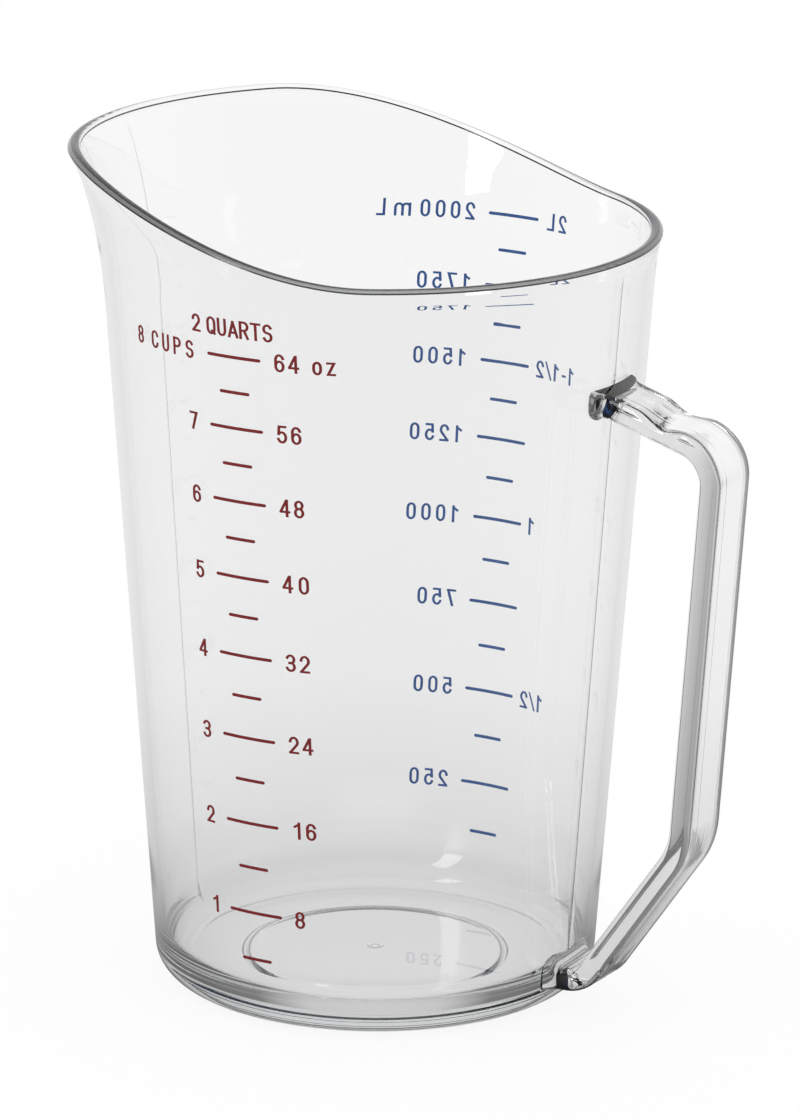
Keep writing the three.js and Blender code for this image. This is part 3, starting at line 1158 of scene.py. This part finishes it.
@dataclass
class PrintedScale:
    """One printed scale: its bars, which come with the frame, and its numerals wrapped on the wall."""

    vessel: Vessel
    name: str
    bars: str
    slot: str
    angle: float
    ink: ScreenInk
    words: tuple[Word, ...]
    count: int = 16
    lift: float = 0.08
    film: float = 0.12

    def flat_sheet(self) -> tuple[list[Point], list[list[int]]]:
        """Sets all words flat.

        Returns:
            Points as place along the wall and height, in millimetres, and faces as lists of point numbers.
        """
        points: list[Point] = []
        faces: list[list[int]] = []
        for word in self.words:
            low = level_of_bar(f"{self.bars}_{word.bar:02d}") + word.rise - TALL / 2
            for glyph, left in word.letters():
                patch, cells = glyph.sheet()
                drop = max(0.0, (glyph.height - TALL) / 2)
                faces += [[len(points) + i for i in cell] for cell in cells]
                points += [(left + p.x, low - drop + p.y) for p in patch]
        return points, faces

    def wrap(self, along: float, z: float, depth: float) -> Vector:
        """Wraps a point of the flat sheet on the wall.

        Args:
            along: place along the wall, in millimetres.
            z: height above the table, in millimetres.
            depth: depth in the film, in millimetres.

        Returns:
            Its place in the frame.
        """
        angle = self.angle + along / self.vessel.outside(z, self.angle)
        reach = self.vessel.outside(z, angle) + self.lift + depth
        return in_frame(reach * math.cos(angle), reach * math.sin(angle), z)

    def build(self) -> Piece:
        """Cuts the words out of a flat film, thickens it and wraps it on the wall.

        Returns:
            The piece with all words of the scale.
        """
        points, faces = self.flat_sheet()
        mesh = bpy.data.meshes.new(self.name)
        mesh.from_pydata([(x, y, 0.0) for x, y in points], [], faces)
        piece = bpy.data.objects.new(self.name, mesh)
        bpy.context.collection.objects.link(piece)
        Bench.pick(piece)
        bpy.ops.object.mode_set(mode="EDIT")
        bpy.ops.mesh.select_all(action="SELECT")
        bpy.ops.mesh.normals_make_consistent(inside=False)
        bpy.ops.mesh.extrude_region_move(TRANSFORM_OT_translate={"value": (0, 0, self.film)})
        bpy.ops.mesh.select_all(action="SELECT")
        bpy.ops.mesh.normals_make_consistent(inside=False)
        bpy.ops.object.mode_set(mode="OBJECT")
        for vert in mesh.vertices:
            vert.co = self.wrap(*vert.co)
        finish = self.ink.material()
        Bench.dress(piece, finish)
        for number in range(1, self.count + 1):
            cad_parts[f"{self.bars}_{number:02d}"].material_slots[0].material = finish
        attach(piece, "root")
        return piece


def ounce_words() -> tuple[Word, ...]:
    """Sets the words of the red scale.

    Returns:
        Cups on the left, ounces on the right and quarts over the full mark.
    """
    full, raised = 16, 7.2
    cups = [Word(str(n), 2 * n, -11.5, hang=Hang.RIGHT) for n in range(1, 8)]
    ounces = [Word(str(8 * n), 2 * n, 11.0, pitch=4.1 if n == 5 else 3.6) for n in range(1, 9)]
    return (
        *cups, *ounces,
        Word("8", full, -33.6), Word("CUPS", full, -27.4, pitch=4.25), Word("oz", full, 20.4, pitch=3.4),
        Word("2", full, -11.9, rise=raised), Word("QUARTS", full, -7.4, pitch=3.13, rise=raised),
    )


def metric_words() -> tuple[Word, ...]:
    """Sets the words of the blue scale.

    Returns:
        Litres on the left and millilitres on the right.
    """
    full, left = 16, -10.1
    millilitres = [Word(str(250 * n), 2 * n, 11.3, pitch=4.06) for n in range(1, 9)]
    litres = [Word("1", 8, left, hang=Hang.RIGHT), Word("2L", full, -10.4, pitch=4.1, hang=Hang.RIGHT)]
    marks = (("1/2", 4), ("1-1/2", 12))
    halves = [Word(text, bar, left, pitch=2.95, hang=Hang.RIGHT) for text, bar in marks]
    return (*millilitres, *litres, *halves, Word("m", full, 28.65), Word("L", full, 35.4))


@dataclass(frozen=True)
class Softbox:
    """An upright softbox that faces the cup's axis, in metres."""

    name: str = "left_softbox"
    turn: float = math.radians(-104)
    distance: float = 1.1
    width: float = 0.22
    low: float = 0.195
    high: float = 1.2
    level: float = 4.0

    def hang(self) -> None:
        """Hangs the softbox at its place."""
        lamp = bpy.data.lights.new(self.name, "AREA")
        lamp.shape = "RECTANGLE"
        lamp.size, lamp.size_y = self.width, self.high - self.low
        lamp.energy = self.level * math.pi * self.width * (self.high - self.low)
        stand = bpy.data.objects.new(self.name, lamp)
        bpy.context.collection.objects.link(stand)
        across = Vector((math.cos(self.turn), math.sin(self.turn), 0)) * self.distance
        stand.location = in_frame(0, 0, 0) + across + Vector((0, 0, (self.low + self.high) / 2))
        stand.rotation_euler = (math.pi / 2, 0, self.turn + math.pi / 2)


@dataclass
class Studio:
    """White floor, soft light from all sides and the camera at the photograph's place.

    The ramps pair a value with a grey: a distance from the cup's axis in metres for ground, foot_reach and
    under_floor, a turn away from the viewpoint for room and room_by_foot, and a steepness for overhead.
    """

    floor_reach: float = 8.0
    floor_colour: Colour = (0.98, 0.98, 0.98)
    floor_white: float = 0.85
    dome: float = 1.0
    # Painted shadow of the cup on the floor close to it.
    ground: tuple[Point, ...] = (
        (0.0, 0.76), (0.06, 0.72), (0.085, 0.76), (0.13, 0.86), (0.25, 0.97), (0.40, 1.0))
    room: tuple[Point, ...] = ((0.0, 0.15), (0.3, 0.28), (0.5, 0.45), (0.75, 0.68), (1.0, 0.85))
    # Painted shade at the sides of the foot, painted light in front of it.
    room_by_foot: tuple[Point, ...] = (
        (0.0, 0.85), (0.03, 0.8), (0.1, 0.28), (0.25, 0.2),
        (0.45, 0.22), (0.6, 0.35), (0.75, 0.5), (1.0, 0.6))
    foot_reach: tuple[Point, ...] = ((0.06, 0.0), (0.1, 1.0))
    # Painted light under the cup's middle.
    under_floor: tuple[Point, ...] = ((0.037, 0.95), (0.044, 0.0))
    overhead: tuple[Point, ...] = ((0.45, 0.0), (0.9, 1.0))
    softbox: Softbox = Softbox()
    eye: tuple[float, float, float] = (765.40, -1278.89, 544.51)
    ahead: tuple[float, float, float] = (-0.48969, 0.82531, -0.28119)
    right: tuple[float, float, float] = (0.859, 0.51194, 0.00664)
    lens: float = 198.4
    sight: float = 50.0

    def build(self) -> None:
        """Sets floor, world, lamp and camera."""
        self.lay_floor()
        self.hang_dome()
        self.softbox.hang()
        self.place_camera()

    @staticmethod
    def grade(sheet: NodeSheet, value: Socket, marks: tuple[Point, ...]) -> Socket:
        """Grades a value into greys.

        Args:
            sheet: nodes to add to.
            value: the value to grade, from 0 to 1.
            marks: values with the grey that each one takes, in rising order.

        Returns:
            The grey.
        """
        ramp = sheet.add("ValToRGB")
        sheet.join(value, ramp.inputs[0])
        elements = ramp.color_ramp.elements
        while len(elements) < len(marks):
            elements.new(0.5)
        for element, (place, level) in zip(elements, marks):
            element.position, element.color = place, (level, level, level, 1)
        return ramp.outputs[0]

    @staticmethod
    def looks(sheet: NodeSheet) -> tuple[Socket, Socket]:
        """Sorts the looks that meet the studio.

        Args:
            sheet: nodes to add to.

        Returns:
            1 for a look through clear plastic or off a gloss, and 1 for a look that was mirrored on its way.
        """
        path = sheet.add("LightPath").outputs
        by_cup = sheet.reckon("ADD", path["Is Transmission Ray"], path["Is Glossy Ray"], held=True)
        turns = sheet.reckon("SUBTRACT", path["Ray Depth"], path["Transmission Depth"])
        return by_cup, sheet.reckon("SUBTRACT", turns, path["Diffuse Depth"], held=True)

    def from_camera(self, sheet: NodeSheet, way: Socket) -> Socket:
        """Measures how far a direction is turned from the photograph's viewpoint.

        Args:
            sheet: nodes to add to.
            way: direction from the cup, of any length.

        Returns:
            0 towards the viewpoint, 0.5 to either side and 1 away from it.
        """
        level = Vector((1, 1, 0))
        unit = sheet.add("VectorMath", operation="NORMALIZE")
        sheet.join(sheet.against("MULTIPLY", way, level).outputs["Vector"], unit.inputs[0])
        away = (Vector(self.ahead) * level).normalized()
        behind = sheet.against("DOT_PRODUCT", unit.outputs["Vector"], away)
        share = sheet.add("MapRange")
        sheet.join(behind.outputs["Value"], share.inputs["Value"])
        share.inputs["From Min"].default_value = -1.0
        return share.outputs["Result"]

    @staticmethod
    def glow(sheet: NodeSheet, colour: Socket) -> Socket:
        """Shines in a changing colour.

        Args:
            sheet: nodes to add to.
            colour: the colour.

        Returns:
            The shining shader.
        """
        node = sheet.add("Emission")
        sheet.join(colour, node.inputs["Color"])
        return node.outputs[0]

    def lay_floor(self) -> None:
        """Lays the floor: white with the cup's shade to the eye, and in what the cup shows, painted shadow
        near the cup with painted shade and light by its foot.
        """
        Bench.clear()
        bpy.ops.mesh.primitive_plane_add(size=self.floor_reach)
        floor = bpy.context.object
        floor.name = "studio_floor"
        material, sheet = new_material("white_floor")
        place = sheet.add("TexCoord").outputs["Object"]
        middle = in_frame(0, 0, 0)
        off = sheet.against("DISTANCE", place, middle).outputs["Value"]
        turned = self.from_camera(sheet, sheet.against("SUBTRACT", place, middle).outputs["Vector"])
        # Painted shadow: greyer floor close to the cup.
        near = self.grade(sheet, off, self.ground)
        # Painted shade beside the foot and painted light in front of it; the dimmer room farther out.
        painted_by_foot, around = (self.grade(sheet, turned, marks) for marks in (self.room_by_foot, self.room))
        room = sheet.blend(self.grade(sheet, off, self.foot_reach), painted_by_foot, around)
        # Painted light under the cup's middle.
        lit = sheet.reckon("MAXIMUM", self.grade(sheet, off, self.under_floor), room)
        matte, plain = sheet.add("BsdfDiffuse"), sheet.add("Emission")
        matte.inputs["Color"].default_value = (*self.floor_colour, 1)
        plain.inputs["Color"].default_value = WHITE
        white = sheet.spread(sheet.add("LightPath").outputs["Is Camera Ray"], 0.0, self.floor_white)
        by_cup, mirrored = self.looks(sheet)
        by_eye = sheet.choose(white, matte.outputs[0], plain.outputs[0])
        dimmed = self.glow(sheet, sheet.reckon("MULTIPLY", near, lit))
        seen = sheet.choose(mirrored, self.glow(sheet, near), dimmed)
        shown = sheet.choose(by_cup, by_eye, seen)
        sheet.join(shown, sheet.add("OutputMaterial").inputs["Surface"])
        Bench.dress(floor, material)

    def hang_dome(self) -> None:
        """Hangs a white dome, with a dimmer room in what the cup mirrors."""
        world = bpy.data.worlds.new("studio_dome")
        bpy.context.scene.world = world
        world.use_nodes = True
        sheet = NodeSheet(world.node_tree)
        way = sheet.add("TexCoord").outputs["Generated"]
        height = sheet.add("SeparateXYZ")
        sheet.join(way, height.inputs[0])
        plain, room = sheet.add("Background"), sheet.add("Background")
        plain.inputs["Color"].default_value = WHITE
        plain.inputs["Strength"].default_value = self.dome
        around = self.grade(sheet, self.from_camera(sheet, way), self.room)
        above = self.grade(sheet, height.outputs["Z"], self.overhead)
        sheet.join(sheet.reckon("MAXIMUM", around, above), room.inputs["Color"])
        dimmed = sheet.reckon("MULTIPLY", *self.looks(sheet))
        shown = sheet.choose(dimmed, plain.outputs[0], room.outputs[0])
        sheet.join(shown, sheet.add("OutputWorld").inputs["Surface"])

    def place_camera(self) -> None:
        """Places the camera at the photograph's viewpoint and lens."""
        lens = bpy.data.cameras.new("camera")
        lens.lens = self.lens
        lens.clip_end = self.sight
        camera = bpy.data.objects.new("camera", lens)
        bpy.context.collection.objects.link(camera)
        ahead, right = Vector(self.ahead).normalized(), Vector(self.right)
        right = (right - ahead * right.dot(ahead)).normalized()
        turn = Matrix((right, right.cross(ahead), -ahead)).transposed()
        camera.matrix_world = Matrix.Translation(in_frame(*self.eye)) @ turn.to_4x4()
        bpy.context.scene.camera = camera


def set_light_depth() -> None:
    """Lets light pass through all the walls that a look across the cup meets."""
    cycles = bpy.context.scene.cycles
    cycles.max_bounces = cycles.transmission_bounces = cycles.transparent_max_bounces = LOOK_THROUGH
    cycles.glossy_bounces = LOOK_MIRRORED


def main() -> None:
    """Builds the cup's pieces and the studio in order."""
    logging.basicConfig(level=logging.INFO, format="%(message)s")
    bpy.context.scene.view_settings.view_transform = "Standard"
    set_light_depth()
    vessel = Vessel()
    # Grey, partly clear painted shade with a rougher gloss, for the lip's outer shoulder.
    rubbed = ClearPlastic("rubbed_lip_painted_shade", body=(0.6, 0.6, 0.61), drift=(0.66, 0.66, 0.67),
                          gloss=(0.08, 0.16), clearness=0.74)
    # Near-black painted shade for the dark lines along the lip's top and where it meets the wall.
    edge = ClearPlastic("lip_edge_painted_shade", body=(0.05, 0.05, 0.055), drift=(0.08, 0.08, 0.085))
    red = ScreenInk("red_screen_ink", (0.14, 0.010, 0.011), (0.20, 0.016, 0.017))
    blue = ScreenInk("blue_screen_ink", (0.036, 0.125, 0.40), (0.056, 0.175, 0.53))
    red_side, blue_side = math.radians(-90), math.radians(90)
    pieces = (
        ClearMoulding(vessel, Handle(vessel), ClearPlastic(), rubbed, edge),
        PrintedScale(vessel, "ounce_numerals", "ounce_bar", "red_ink", red_side, red, ounce_words()),
        PrintedScale(vessel, "metric_numerals", "metric_bar", "blue_ink", blue_side, blue, metric_words()),
    )
    for piece in pieces:
        made = piece.build()
        LOG.info("%s: %d faces", made.name, len(made.data.polygons))
    Studio().build()


if __name__ == "__main__":
    main()
